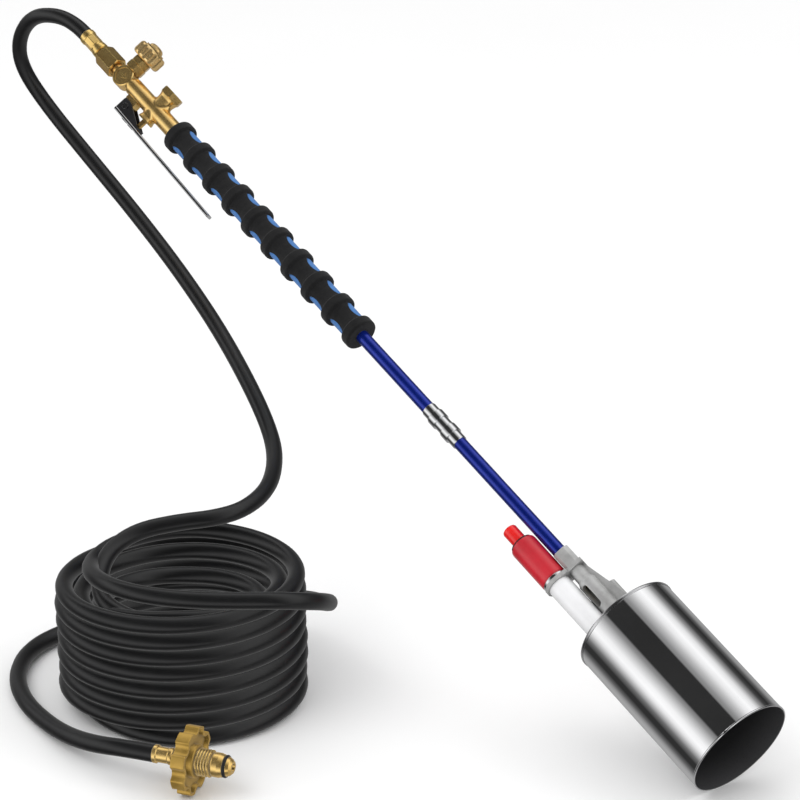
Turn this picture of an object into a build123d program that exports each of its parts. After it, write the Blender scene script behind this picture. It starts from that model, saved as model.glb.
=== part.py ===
"""Roofing torch on a coiled gas hose.

Units are millimetres. The origin is the middle of the hand grip. The lance lies in the XZ plane, its burner
bell towards +X and lower, so that the bell's lip meets the floor that the hose coil stands on.

Torch pieces are drawn along their own X axis, where a station is the distance from the centre of the needle
valve, and +Z is the side the flow knob stands on. TORCH then places them. The hose connector is drawn along
its own X axis from the centre of its handwheel, and CONNECTOR places it.
"""
from build123d import *
import math
import os

# ---------------------------------------------------------------- driving dimensions
TILT = 23.78                # lance below level, degrees
ROLL = -46.66               # turn about the lance axis, degrees
GRIP_CENTRE = 243.7         # station of the origin
FLOOR_Z = -307.7

TUBE_R = 6.0
TUBE_BORE_R = 4.6
TUBE_REAR = 74.0
TUBE_JOINT = 508.5
TUBE_FRONT = 688.0

HOSE_R = 7.25
HOSE_BORE_R = 4.0
FERRULE_BACK = -68.4
FERRULE_FRONT = -41.0

NUT_BACK = -37.8
NUT_FRONT = -14.6
NUT_FLATS = 19.0

VALVE_DISC_R = 11.0
VALVE_DISC_HALF = 6.6
STEM_R = 3.0
STEM_RISE = 1.5
RUNNING_GAP = 0.05

BARREL_START = 14.3
BARREL_END = 90.9
BARREL_R = 8.6
CROSS = 52.8                # station of the trigger valve's cross boss
CROSS_UP_R = 10.3
CROSS_DOWN_R = 8.4
CROSS_TOP = 16.7
CROSS_BOTTOM = -14.2
PLUG_TOP = 23.7
SEAM_FILLET = 4.3

PIN_STATION = 29.5
PIN_Z = -17.9
PIN_R = 2.0
LUG_HALF = 4.5
CHEEK_GAP = 0.3
CHEEK_WALL = 1.8
LEVER_WIDTH = 14.0
LEVER_PLATE = 3.1
LEVER_END = 183.0
YOKE_BACK = 21.9
YOKE_FRONT = 56.9
STRIP_SLOPE = 0.0259
RIVET_STATIONS = (36.0, 46.0)
RIVET_R = 2.2
ROD_R = 2.8
ROD_END = -22.4

GRIP_START = 90.0
GRIP_END = 385.8
GRIP_LOBES = 10
LOBE_R = 15.6
VALLEY_R = 12.2
CORE_R = 9.6
PAD_R = 11.9
WINDOW_LATERAL = 8.2        # least height above the axis at which a window starts
WINDOW_CURVE_R = 24.0       # radius of a window's inner edge

COUPLING_START = 485.9
COUPLING_BAND = 9.02
COUPLING_RADII = (6.9, 8.1, 7.1, 8.1, 6.9)

IGNITER_Z = -18.8
BUTTON_R = 6.6
BUTTON_BACK = 623.4
BUTTON_TRAVEL = 6.0
SLEEVE_BACK = 642.0
SLEEVE_FRONT = 686.2
SLEEVE_R = 12.0
BARREL_WHITE_R = 10.3

HEAD_BACK = 672.5
CLAMP_BACK = 689.5
CLAMP_FRONT = 693.0
FLANGE_BACK = 754.2
PLATE_BACK = 758.2
PLATE_GAUGE = 1.2
RIM_FRONT = 761.4
BELL_R = 46.0
BELL_WALL = 1.0
BELL_MOUTH = 903.6
SCREW_TURNS = (-36, -118)   # places of the bell screws round the lance axis, degrees
SCREW_CIRCLE_R = 16.5
AIR_SLOT_TURN = 40          # turn of the air slots round the lance axis, degrees

COIL_CENTRE = (186.0, -239.0)
COIL_TURN = 50.55           # azimuth of the coil's long axis, degrees
COIL_LONG_R = 97.5          # outer layer, middle of the hose, along the long axis
COIL_SHORT_R = 89.0
COIL_TURNS_HIGH = 8

WHEEL_CENTRE = (323.8, -330.6, FLOOR_Z + 28.0)
WHEEL_AZIMUTH = 30.5
WHEEL_R = 27.7
WHEEL_LOBES = 8
POL_THREAD_R = 11.2
NIPPLE_SHAFT_R = 6.0

# hand-laid routes of the free hose, millimetres in the part's own frame
LEAD_ROUTE = (
    (-331, -4, 138), (-365, -10, 131), (-390, -11, 105), (-397, -6, 74), (-385, 14, 33),
    (-331, 29, -14), (-250, 26, -50), (-161, 13, -81), (-73, -5, -112), (20, -37, -136), (73, -57, -156),
    (108, -80, -165), (139, -112, -170), (154, -148, -173), (151, -177, -174), (134, -204, -176),
    (117, -236, -181), (118, -266, -191), (138, -289, -203),
)
TAIL_ROUTE = (
    (113, -278, -197), (138, -298, -193), (172, -307, -188), (206, -305, -184), (236, -290, -183),
    (262, -266, -183), (283, -241, -183), (298, -222, -183), (304, -200, -188), (299, -178, -197),
    (271, -147, -218), (228, -121, -242), (181, -105, -260), (132, -114, -276), (90, -143, -290),
    (58, -181, -298), (39, -222, -300), (34, -264, -300), (46, -305, -300), (80, -339, -300),
    (123, -358, -300), (166, -365, -299), (207, -369, -294), (243, -367, -287),
)

# ---------------------------------------------------------------- frames
TORCH = Rot(0, TILT, 0) * Rot(ROLL, 0, 0) * Pos(-GRIP_CENTRE, 0, 0)
CONNECTOR = Pos(*WHEEL_CENTRE) * Rot(0, 0, WHEEL_AZIMUTH)
COIL = Pos(COIL_CENTRE[0], COIL_CENTRE[1], FLOOR_Z) * Rot(0, 0, COIL_TURN)
IGNITER = Pos(0, 0, IGNITER_Z)


# ---------------------------------------------------------------- helpers
def turned(outline):
    """Solid turned about X from (station, radius) corners."""
    return revolve(Plane.XZ * make_face(Polyline(*outline, close=True)), Axis.X)


def bar(start, end, radius):
    """Round bar along X."""
    return turned(((start, 0), (end, 0), (end, radius), (start, radius)))


def ring(start, end, radius, bore):
    """Round sleeve along X."""
    return turned(((start, bore), (end, bore), (end, radius), (start, radius)))


def post(bottom, top, radius):
    """Round post along Z at the origin."""
    return Pos(0, 0, (bottom + top) / 2) * Cylinder(radius, top - bottom)


def post_ring(bottom, top, radius, bore):
    """Round sleeve along Z at the origin."""
    return post(bottom, top, radius) - post(bottom, top, bore)


def hex_bar(start, end, flats):
    """Hexagon bar along X, one corner towards +Z, its corners turned off at both ends."""
    corner_r = flats / math.sqrt(3)
    bevel = corner_r - flats / 2
    prism = Rot(30, 0, 0) * extrude(Plane.YZ.offset(start) * RegularPolygon(corner_r, 6), end - start)
    limit = turned(((start, 0), (start, corner_r - bevel), (start + bevel * 0.6, corner_r),
                    (end - bevel * 0.6, corner_r), (end, corner_r - bevel), (end, 0)))
    return prism & limit


def hex_post(bottom, top, flats):
    """Hexagon bar along Z with its corners turned off at both ends."""
    return Rot(0, -90, 0) * hex_bar(bottom, top, flats)


def block(x0, x1, y0, y1, z0, z1):
    """Box between two corners."""
    centre = Pos((x0 + x1) / 2, (y0 + y1) / 2, (z0 + z1) / 2)
    return centre * Box(x1 - x0, y1 - y0, z1 - z0)


def side_plate(outline, y0, y1):
    """Plate cut to (station, height) corners, between two planes across Y."""
    face = Plane.XZ * make_face(Polyline(*outline, close=True))
    return Pos(0, y1, 0) * extrude(face, y1 - y0)


def coil_spring(start, end, radius, wire_r, turns):
    """Helical spring along Z."""
    height = end - start - 2 * wire_r
    path = Helix(pitch=height / turns, height=height, radius=radius)
    wire = sweep(Plane(origin=path @ 0, z_dir=path % 0) * Circle(wire_r), path=path)
    return Pos(0, 0, start + wire_r) * wire


def along_x(shape):
    """Turn a piece drawn along Z so that it lies along X."""
    return Rot(0, 90, 0) * shape


def hose_tube(name, points):
    """Round hose along straight runs joined by arcs as large as the runs allow."""
    corners = [Vector(*point) for point in points]
    radii = []
    for before, at, after in zip(corners, corners[1:], corners[2:]):
        shorter = min((at - before).length, (after - at).length)
        half_turn = math.radians((at - before).get_angle(after - at)) / 2
        radii.append(0.45 * shorter / math.tan(half_turn))
    path = FilletPolyline(*corners, radius=radii)
    tube = sweep(Plane(origin=path @ 0, z_dir=path % 0) * Circle(HOSE_R), path=path)
    ratio = tube.volume / (math.pi * HOSE_R ** 2 * path.length)
    print(name, "length", round(path.length), "volume ratio", round(ratio, 4), "radii", [round(r) for r in radii])
    return tube


# ---------------------------------------------------------------- hose end and inlet
def hose_ferrule():
    """Sleeve with a flared mouth and bulged front, crimped to eight flats between them."""
    sleeve = turned((
        (FERRULE_BACK, 7.4), (FERRULE_BACK + 0.8, 8.1), (-64.6, 8.1), (-62.8, 7.4), (-48.6, 7.4), (-46.6, 7.9),
        (-43.2, 8.0), (-41.8, 7.4), (FERRULE_FRONT, 6.4), (FERRULE_FRONT, 3.85), (-43.0, 3.85), (-43.0, 5.3),
        (FERRULE_BACK, 5.3)))
    flats = extrude(Plane.YZ.offset(-61.8) * RegularPolygon(7.5, 8), 12.4)
    return sleeve - (bar(-61.8, -49.4, 9.0) - flats)


def hose_barb():
    shell = [(-66.0, 2.4)]
    for tooth in range(5):
        back = -66.0 + tooth * 4.2
        shell += [(back, 3.4), (back + 3.9, 3.95)]
    shell += [(-45.0, 3.4), (-44.0, 3.8), (-28.2, 3.8), (-28.2, 7.4), (-26.2, 7.4), (-26.2, 6.4), (-24.1, 4.0),
              (-24.1, 2.4)]
    return turned(shell)


def inlet_nut():
    hexagon = hex_bar(NUT_BACK, NUT_FRONT, NUT_FLATS)
    return hexagon - bar(NUT_BACK - 1, -28.4, 4.0) - bar(-28.4, NUT_FRONT + 1, 8.05)


def flow_arrow():
    """Raised arrow on one face of the disc, pointing to the outlet."""
    shaft = block(-5.0, 2.0, 0, 0.5, -0.7, 0.7)
    head = side_plate(((0.6, -2.8), (5.4, 0), (0.6, 2.8), (1.6, 0)), 0, 0.5)
    return Pos(0, -VALVE_DISC_HALF + 0.35, 0) * (shaft + head)


def needle_valve_body():
    disc = Rot(90, 0, 0) * Cylinder(VALVE_DISC_R, 2 * VALVE_DISC_HALF)
    disc = chamfer(disc.edges().filter_by(GeomType.CIRCLE), 0.9)
    inlet = bar(-26.0, -15.5, 7.9) + bar(-15.5, -6.0, 6.3)
    outlet = bar(6.0, BARREL_START, 6.3) + ring(11.8, BARREL_START, 6.8, 4.0)
    body = disc + inlet + outlet + post(4.0, 9.4, 7.0)
    body -= Pos(0, -VALVE_DISC_HALF, 0) * (Rot(90, 0, 0) * Cylinder(7.9, 1.6))
    body -= turned(((-26.1, 0), (-26.1, 6.5), (-24.0, 4.1), (-24.0, 2.4), (-2.5, 2.4), (-2.5, 0)))
    body -= post(-1.0, 5.0, 3.3) + post(5.0, 10.0, 4.5) + post(-6.6, 0, 1.5) + post(9.4, 11.5, 11.5)
    body -= Pos(0, 0, -5.0) * bar(0, 5.5, 1.5) + Pos(5.5, 0, 0) * post(-6.2, 1.4, 1.5) + bar(5.5, 15.0, 2.4)
    return body + flow_arrow()


def bonnet_nut():
    hexagon = hex_post(9.4, 17.0, 17.6) + post(5.2, 9.6, 4.45)
    return hexagon - post(5.0, 18.0, STEM_R + RUNNING_GAP) - post(14.4, 18.0, 5.4)


def gland_nut():
    collar = hex_post(17.0, 23.3, 16.8)
    return collar - post(16.0, 24.0, STEM_R + RUNNING_GAP)


def stem_packing():
    return post_ring(14.6, 16.8, 5.3, STEM_R + RUNNING_GAP)


def needle_stem():
    tip = Pos(0, 0, -1.3) * Cone(0.5, 2.2, 4.6)
    return tip + post(1.0, 6.0, 2.2) + post(6.0, 37.6, STEM_R)


def flow_knob():
    """Knob with shallow flutes round a thick rim, hollow underneath round its hub."""
    rim_r = 15.4
    flutes = 14
    flute_r = 2.3
    rim = post(23.4, 37.0, rim_r)
    for index in range(flutes):
        flute = Pos(rim_r + flute_r - 1.2, 0, 30.0) * Cylinder(flute_r, 16.0)
        rim -= Rot(0, 0, (index + 0.5) * 360 / flutes) * flute
    envelope = revolve(Plane.XZ * make_face(Polyline(
        (0, 23.4), (12.6, 23.4), (14.6, 24.4), (15.4, 26.2), (15.4, 34.2), (14.8, 35.6), (13.4, 37.0), (10.2, 38.4),
        (0, 38.4), close=True)), Axis.Z)
    rim = (rim + post(36.0, 38.4, 10.4)) & envelope
    rim -= post(23.0, 26.2, 10.8) - post(24.4, 27.0, 6.6)
    return rim - post(24.0, 38.2, STEM_R + RUNNING_GAP) - post(38.0, 39.0, 6.0)


def knob_cap():
    dome = revolve(Plane.XZ * make_face(Polyline(
        (0, 38.1), (5.8, 38.1), (5.8, 38.5), (8.0, 38.5), (7.4, 40.4), (5.4, 41.9), (2.6, 42.5), (0, 42.6),
        close=True)), Axis.Z)
    return dome


# ---------------------------------------------------------------- trigger valve
def trigger_valve_body():
    barrel = bar(BARREL_START, BARREL_END, BARREL_R)
    body = barrel + Pos(CROSS, 0, 0) * cross_boss()
    seam = body.edges().filter_by(lambda edge: edge.geom_type not in (GeomType.LINE, GeomType.CIRCLE))
    body = fillet(seam, SEAM_FILLET)
    lug_outline = ((20.0, -6.0), (33.6, -6.0), (34.2, -12.0), (33.6, -19.0), (30.8, -21.4), (27.6, -21.0),
                   (22.6, -15.0), (20.0, -11.0))
    body += side_plate(lug_outline, -LUG_HALF, LUG_HALF)
    body -= valve_passages()
    body -= Pos(PIN_STATION, 0, PIN_Z) * (Rot(90, 0, 0) * Cylinder(PIN_R, 20))
    return body


def cross_boss():
    """Waisted round boss across the barrel, wider towards the end plug."""
    side = ((CROSS_DOWN_R, CROSS_BOTTOM), (CROSS_DOWN_R, CROSS_BOTTOM + 1.6), (7.5, -9.7), (7.95, 2.2), (9.4, 14.0),
            (CROSS_UP_R, CROSS_TOP))
    outline = ((0, CROSS_BOTTOM),) + side + ((0, CROSS_TOP),)
    return revolve(Plane.XZ * make_face(Polyline(*outline, close=True)), Axis.Z)


def valve_passages():
    feed = bar(BARREL_START - 1, 18.0, 2.6) + Pos(0, 0, 3.2) * bar(17.0, CROSS, 1.9)
    chamber = Pos(CROSS, 0, 0) * (post(0.8, CROSS_TOP + 1, 6.0) + post(-7.0, 1.0, 3.3))
    rod_hole = Pos(CROSS, 0, 0) * (post(-15.0, -6.0, ROD_R + RUNNING_GAP) + post(-10.6, -7.6, 4.6))
    outlet = Pos(0, 0, -3.0) * bar(CROSS, TUBE_REAR - 1, 1.9)
    socket = bar(TUBE_REAR - 2.5, BARREL_END + 1, TUBE_R)
    return feed + chamber + rod_hole + outlet + socket


def valve_end_plug():
    head = hex_post(CROSS_TOP, PLUG_TOP, 20.8)
    return Pos(CROSS, 0, 0) * (head + post(12.6, CROSS_TOP + 0.5, 5.95) - post(12.0, 14.4, 3.0))


def valve_push_rod():
    rod = post(ROD_END + 0.8, -6.4, ROD_R) + post(ROD_END, -6.4, ROD_R - 0.8) + post(-6.6, 2.6, 1.6)
    return Pos(CROSS, 0, 0) * rod


def valve_poppet():
    disc = post(2.4, 4.2, 4.9) + post(4.2, 6.4, 2.4) - post(2.0, 2.8, 1.6)
    return Pos(CROSS, 0, 0) * disc


def poppet_seal():
    return Pos(CROSS, 0, 0) * post_ring(0.9, 2.4, 4.9, 1.7)


def poppet_spring():
    return Pos(CROSS, 0, 0) * coil_spring(4.3, 12.5, 4.0, 0.45, 4.5)


def rod_seal():
    return Pos(CROSS, 0, 0) * post_ring(-10.5, -7.7, 4.5, ROD_R + RUNNING_GAP)


def lever_pin():
    half = LUG_HALF + CHEEK_GAP + CHEEK_WALL + 0.2
    shank = Rot(90, 0, 0) * Cylinder(PIN_R, 2 * half + 1.6)
    heads = [Pos(0, side * (half + 0.4), 0) * (Rot(90, 0, 0) * Cylinder(3.1, 0.8)) for side in (-1, 1)]
    return Pos(PIN_STATION, 0, PIN_Z) * (shank + heads[0] + heads[1])


def strip_top(station):
    """Height of the lever strip's inner face under the yoke."""
    return -23.54 - station * STRIP_SLOPE


def lever_yoke():
    """Channel: two tapering cheeks on a base that lies on the lever strip."""
    inner = LUG_HALF + CHEEK_GAP
    outer = inner + CHEEK_WALL
    back = (YOKE_BACK, strip_top(YOKE_BACK))
    front = (YOKE_FRONT, strip_top(YOKE_FRONT))
    cheek = (back, (YOKE_BACK, -13.0), (23.1, -11.9), (30.4, -11.9), (34.0, -13.2), (45.0, -18.0),
             (YOKE_FRONT, -23.0), front)
    yoke = side_plate(cheek, inner, outer) + side_plate(cheek, -outer, -inner)
    yoke += side_plate((back, (YOKE_BACK, -22.8), (YOKE_FRONT, -22.8), front), -outer, outer)
    for station in RIVET_STATIONS:
        yoke -= Pos(station, 0, 0) * post(-26.0, -22.0, RIVET_R)
    return yoke - Pos(PIN_STATION, 0, PIN_Z) * (Rot(90, 0, 0) * Cylinder(PIN_R + RUNNING_GAP, 20))


def squeeze_lever():
    """Flat strip, bent just past the yoke, with a rounded free end."""
    top = ((YOKE_BACK, strip_top(YOKE_BACK)), (YOKE_FRONT, strip_top(YOKE_FRONT)), (60.6, -25.3),
           (LEVER_END, -28.1))
    bottom = tuple((x, z - LEVER_PLATE) for x, z in reversed(top))
    strip = side_plate(top + bottom, -LEVER_WIDTH / 2, LEVER_WIDTH / 2)
    strip = fillet(strip.edges().filter_by(Axis.Z).sort_by(Axis.X)[-2:], LEVER_WIDTH / 2 - 0.5)
    lengthwise = strip.edges().filter_by(lambda edge: abs(edge.tangent_at(0.5).X) > 0.99)
    strip = fillet(lengthwise, 0.9)
    for station in RIVET_STATIONS:
        strip -= Pos(station, 0, 0) * post(-30.0, -22.0, RIVET_R)
    return strip


def yoke_rivets():
    """Two low-headed rivets that hold the yoke to the strip."""
    rivets = []
    for station in RIVET_STATIONS:
        foot = strip_top(station) - LEVER_PLATE - 0.1
        rivet = post(foot, -22.8, RIVET_R) + post(-22.8, -22.1, 3.4) + post(foot - 0.6, foot, 3.4)
        rivets.append(Pos(station, 0, 0) * rivet)
    return Compound(children=rivets)


# ---------------------------------------------------------------- grip and lance
def lobe_stations():
    first = GRIP_START + 4.6
    last = GRIP_END - 5.2
    return [first + index * (last - first) / (GRIP_LOBES - 1) for index in range(GRIP_LOBES)]


def grip_outline():
    """(station, radius) corners of the ribbed surface, rib by rib."""
    shoulder_r = VALLEY_R + 1.0
    lobe = ((-5.8, shoulder_r), (-5.0, LOBE_R - 1.2), (-4.2, LOBE_R - 0.3), (-3.2, LOBE_R), (3.2, LOBE_R),
            (4.2, LOBE_R - 0.3), (5.0, LOBE_R - 1.2), (5.8, shoulder_r))
    valley = ((8.6, VALLEY_R + 0.4), (12.4, VALLEY_R), (19.4, VALLEY_R), (23.2, VALLEY_R + 0.4))
    corners = []
    for centre in lobe_stations():
        corners += [(centre + along, radius) for along, radius in lobe + valley]
    return [(GRIP_START, shoulder_r)] + corners[1:-5] + [(GRIP_END, shoulder_r)]


def grip_windows():
    """Bow-edged cutters over the two flanks of every valley, where the blue layer shows."""
    windows = []
    stations = lobe_stations()
    for left, right in zip(stations, stations[1:]):
        for side in (-1, 1):
            low, high = sorted((side * WINDOW_LATERAL, side * 20.0))
            bow_z = side * (WINDOW_LATERAL + WINDOW_CURVE_R)
            bow = Pos((left + right) / 2, 0, bow_z) * (Rot(90, 0, 0) * Cylinder(WINDOW_CURVE_R, 40))
            windows.append(block(left + 5.4, right - 5.4, -20, 20, low, high) & bow)
    return windows


def foam_grip():
    """Ribbed foam that closes on the valve barrel and on the tube at its ends."""
    end = 3.0
    inside = [(GRIP_END, TUBE_R), (GRIP_END - end, TUBE_R), (GRIP_END - end, CORE_R), (GRIP_START + end, CORE_R),
              (GRIP_START + end, TUBE_R), (BARREL_END, TUBE_R), (BARREL_END, BARREL_R), (GRIP_START, BARREL_R)]
    foam = turned(grip_outline() + inside)
    for window in grip_windows():
        foam -= window
    return foam


def grip_core():
    """Blue inner layer on the tube, filling the foam's windows."""
    core = ring(GRIP_START + 3.0, GRIP_END - 3.0, CORE_R, TUBE_R)
    skin = ring(GRIP_START + 4.0, GRIP_END - 4.0, PAD_R, CORE_R - 0.5)
    for window in grip_windows():
        core += skin & window
    return core


def rear_tube():
    return ring(TUBE_REAR, TUBE_JOINT - 0.5, TUBE_R, TUBE_BORE_R)


def front_tube():
    return ring(TUBE_JOINT + 0.5, TUBE_FRONT, TUBE_R, TUBE_BORE_R)


def tube_coupling():
    corners = []
    for index, radius in enumerate(COUPLING_RADII):
        start = COUPLING_START + index * COUPLING_BAND
        end = start + COUPLING_BAND
        corners += [(start, radius - 0.5), (start + 0.5, radius), (end - 0.5, radius), (end, radius - 0.5)]
    end = COUPLING_START + len(COUPLING_RADII) * COUPLING_BAND
    return turned([(COUPLING_START, TUBE_R)] + corners + [(end, TUBE_R)])


# ---------------------------------------------------------------- igniter
def igniter_button():
    shell = turned(((BUTTON_BACK, 0), (BUTTON_BACK, BUTTON_R - 1.4), (BUTTON_BACK + 0.6, BUTTON_R - 0.5),
                    (BUTTON_BACK + 1.6, BUTTON_R), (644.8, BUTTON_R), (644.8, 8.3), (646.4, 8.3), (646.4, 5.6),
                    (628.0, 5.6), (628.0, 2.0), (640.0, 2.0), (640.0, 0)))
    return IGNITER * shell


def igniter_seal_ring():
    return IGNITER * turned(((640.2, 8.0), (640.6, 7.0), (SLEEVE_BACK, 7.0), (SLEEVE_BACK, 10.2), (641.0, 10.2)))


def igniter_sleeve():
    outside = turned(((SLEEVE_BACK, 0), (SLEEVE_BACK, 10.2), (643.2, 11.6), (645.0, SLEEVE_R),
                      (SLEEVE_FRONT - 1.0, SLEEVE_R), (SLEEVE_FRONT, SLEEVE_R - 0.8), (SLEEVE_FRONT, 0)))
    inside = bar(641.0, 645.0, BUTTON_R + 0.1) + bar(644.5, 662.0, 9.4) + bar(661.0, SLEEVE_FRONT + 1, 5.2)
    return IGNITER * (outside - inside)


def igniter_clamp_ring():
    return IGNITER * turned(((SLEEVE_FRONT, 10.35), (SLEEVE_FRONT, 11.3), (687.2, 11.8), (688.6, 11.8),
                             (CLAMP_BACK, 11.3), (CLAMP_BACK, 10.35)))


def igniter_barrel():
    return IGNITER * ring(SLEEVE_FRONT, PLATE_BACK + 5.0, BARREL_WHITE_R, 2.7)


def hammer_guide():
    return IGNITER * ring(647.6, 684.0, 5.15, 3.6)


def igniter_hammer():
    return IGNITER * bar(654.0, 660.0, 3.5)


def piezo_crystal():
    return IGNITER * bar(664.0, 676.0, 3.55)


def hammer_spring():
    return IGNITER * along_x(coil_spring(640.3, 653.7, 2.6, 0.4, 7))


def button_spring():
    return IGNITER * along_x(coil_spring(646.8, 661.7, 7.0, 0.5, 5))


def ignition_lead():
    return IGNITER * (bar(676.4, 686.2, 1.2) + bar(686.0, PLATE_BACK - 9.5, 1.2))


def electrode_insulator():
    return IGNITER * ring(PLATE_BACK - 9.0, PLATE_BACK + 23.0, 2.6, 1.0)


def spark_electrode():
    tip = PLATE_BACK + 39.0
    path = FilletPolyline((PLATE_BACK - 9.2, 0, 0), (tip - 8.0, 0, 0), (tip, 0, 6.0), radius=4)
    return IGNITER * sweep(Plane(origin=path @ 0, z_dir=path % 0) * Circle(0.9), path=path)


# ---------------------------------------------------------------- burner head and bell
def head_casting():
    """Casting: tube socket block, igniter clamp plate, air hub with two slots, web and mounting flange."""
    socket_face = make_face(Polyline((-8, 4.6), (-5.4, 8.2), (5.4, 8.2), (8, 4.6), (8, -3.6), (5.6, -6.5),
                                     (-5.6, -6.5), (-8, -3.6), close=True))
    casting = extrude(Plane.YZ.offset(HEAD_BACK) * socket_face, CLAMP_FRONT - HEAD_BACK)
    casting += clamp_plate()
    casting += bar(CLAMP_FRONT - 1, 709.0, 6.6) + bar(708.0, FLANGE_BACK + 1, 8.2)
    casting += turned(((704.0, 6.4), (708.4, 8.2), (712.0, 8.2), (712.0, 6.4)))
    web = ((CLAMP_BACK, 4.0), (CLAMP_FRONT, 8.4), (FLANGE_BACK + 1, 20.6), (FLANGE_BACK + 1, 4.0))
    casting += side_plate(web, -1.4, 1.4)
    casting += Rot(-72, 0, 0) * side_plate(web, -1.4, 1.4)
    casting += bar(FLANGE_BACK, PLATE_BACK, 24.0)
    for turn in SCREW_TURNS:
        casting += Rot(turn, 0, 0) * (Pos(0, 0, SCREW_CIRCLE_R) * bar(718.0, PLATE_BACK, 4.6))
    inside = PLATE_BACK + 2
    casting -= bar(HEAD_BACK - 1, TUBE_FRONT, TUBE_R) + bar(TUBE_FRONT - 1, inside, 4.5)
    casting -= bar(PLATE_BACK - 3, inside, 8.2) + IGNITER * bar(SLEEVE_FRONT, inside, BARREL_WHITE_R)
    for turn in SCREW_TURNS:
        casting -= Rot(turn, 0, 0) * (Pos(0, 0, SCREW_CIRCLE_R) * bar(PLATE_BACK - 11, inside, 1.7))
    return casting - air_slots()


def clamp_plate():
    """Thin plate across the block's front, round about the igniter."""
    upper = block(CLAMP_BACK, CLAMP_FRONT, -8.0, 8.0, -8.0, 9.4)
    lower = IGNITER * bar(CLAMP_BACK, CLAMP_FRONT, 12.2)
    return upper + lower + block(CLAMP_BACK, CLAMP_FRONT, -10.5, 10.5, IGNITER_Z, -6.0)


def air_slots():
    """Round-ended slots through both walls of the hub."""
    long_slot = block(714.0, 731.0, -12, 12, -3.1, 3.1)
    ends = [Pos(x, 0, 0) * (Rot(90, 0, 0) * Cylinder(3.1, 24)) for x in (714.0, 731.0)]
    return Rot(AIR_SLOT_TURN, 0, 0) * (long_slot + ends[0] + ends[1])


def gas_jet():
    nozzle = turned(((694.0, 1.2), (694.0, 4.5), (709.5, 4.5), (709.5, 2.4), (722.0, 2.2), (724.5, 1.3),
                     (724.5, 0.4), (721.0, 0.4), (718.0, 1.2)))
    return nozzle


def bell_back_plate():
    """Pressed pan that closes the bell: flat back, tight corner and a narrow lip round the bell."""
    outer = BELL_R + 0.5
    front = PLATE_BACK + PLATE_GAUGE
    pan = turned(((PLATE_BACK, 0), (PLATE_BACK, outer - 1.2), (PLATE_BACK + 0.35, outer - 0.35),
                  (PLATE_BACK + 1.2, outer), (RIM_FRONT - 0.3, outer), (RIM_FRONT, outer - 0.3), (RIM_FRONT, BELL_R),
                  (front, BELL_R), (front, 0)))
    pan -= bar(PLATE_BACK - 1, front + 1, 10.0)
    pan -= IGNITER * bar(PLATE_BACK - 1, front + 1, BARREL_WHITE_R)
    for turn in range(0, 360, 45):
        pan -= Rot(turn + 22.5, 0, 0) * (Pos(0, 0, 35.0) * bar(PLATE_BACK - 1, front + 1, 4.5))
    for turn in SCREW_TURNS:
        pan -= Rot(turn, 0, 0) * (Pos(0, 0, SCREW_CIRCLE_R) * bar(PLATE_BACK - 1, front + 1, 1.7))
    return pan


def bell_screws():
    """Screws from inside the bell into the casting's bosses."""
    front = PLATE_BACK + PLATE_GAUGE
    screws = []
    for turn in SCREW_TURNS:
        place = Rot(turn, 0, 0) * Pos(0, 0, SCREW_CIRCLE_R)
        screws.append(place * (bar(PLATE_BACK - 10.5, front, 1.65) + bar(front, front + 2.2, 3.2)))
    return Compound(children=screws)


def flame_tube():
    """Mixing tube that carries gas and air from the hub into the bell."""
    outside = ((-3.0, 8.2), (3.4, 8.2), (19.0, 11.0), (35.0, 11.0))
    inside = ((35.0, 9.9), (19.4, 9.9), (4.0, 7.1), (-3.0, 7.1))
    return Pos(PLATE_BACK, 0, 0) * turned(outside + inside)


def flame_holder():
    """Perforated disc with a rolled edge on the end of the mixing tube."""
    back = PLATE_BACK + 31.0
    disc = ring(back, back + 1.4, 24.0, 11.0) + ring(back, back + 5.0, 24.0, 22.8)
    for turn in range(0, 360, 30):
        disc -= Rot(turn, 0, 0) * (Pos(0, 0, 17.0) * bar(back - 1, back + 3, 2.4))
    return disc - IGNITER * bar(back - 1, back + 6, 3.8)


def burner_bell():
    """Plain cylinder with a small outward bead at the mouth."""
    back = PLATE_BACK + PLATE_GAUGE
    inner = BELL_R - BELL_WALL
    return turned(((back, inner), (back, BELL_R), (BELL_MOUTH - 1.6, BELL_R), (BELL_MOUTH - 1.0, BELL_R + 0.4),
                   (BELL_MOUTH - 0.3, BELL_R + 0.4), (BELL_MOUTH, BELL_R), (BELL_MOUTH, inner)))


# ---------------------------------------------------------------- hose and cylinder connector
def hose_lead():
    """Free hose from the ferrule's mouth to the coil, with its crimped end inside the ferrule."""
    mouth = (torch_point(FERRULE_BACK), torch_point(FERRULE_BACK - 19.0))
    tube = hose_tube("hose_lead", mouth + LEAD_ROUTE)
    crimped = TORCH * ring(FERRULE_BACK, -45.0, 5.25, HOSE_BORE_R)
    return tube + crimped


def torch_point(station):
    """Point of the lance axis in the part's own frame."""
    place = (TORCH * Pos(station, 0, 0)).position
    return (place.X, place.Y, place.Z)


def connector_point(station):
    """Point of the connector's axis in the part's own frame."""
    place = (CONNECTOR * Pos(station, 0, 0)).position
    return (place.X, place.Y, place.Z)


def oval_ring(bottom, top, outset, inset):
    """Upright oval ring between two offsets from the outer layer's hose middle."""
    outer = extrude(Plane.XY.offset(bottom) * Ellipse(COIL_LONG_R + outset, COIL_SHORT_R + outset), top - bottom)
    inner = extrude(Plane.XY.offset(bottom) * Ellipse(COIL_LONG_R - inset, COIL_SHORT_R - inset), top - bottom)
    return outer - inner


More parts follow.
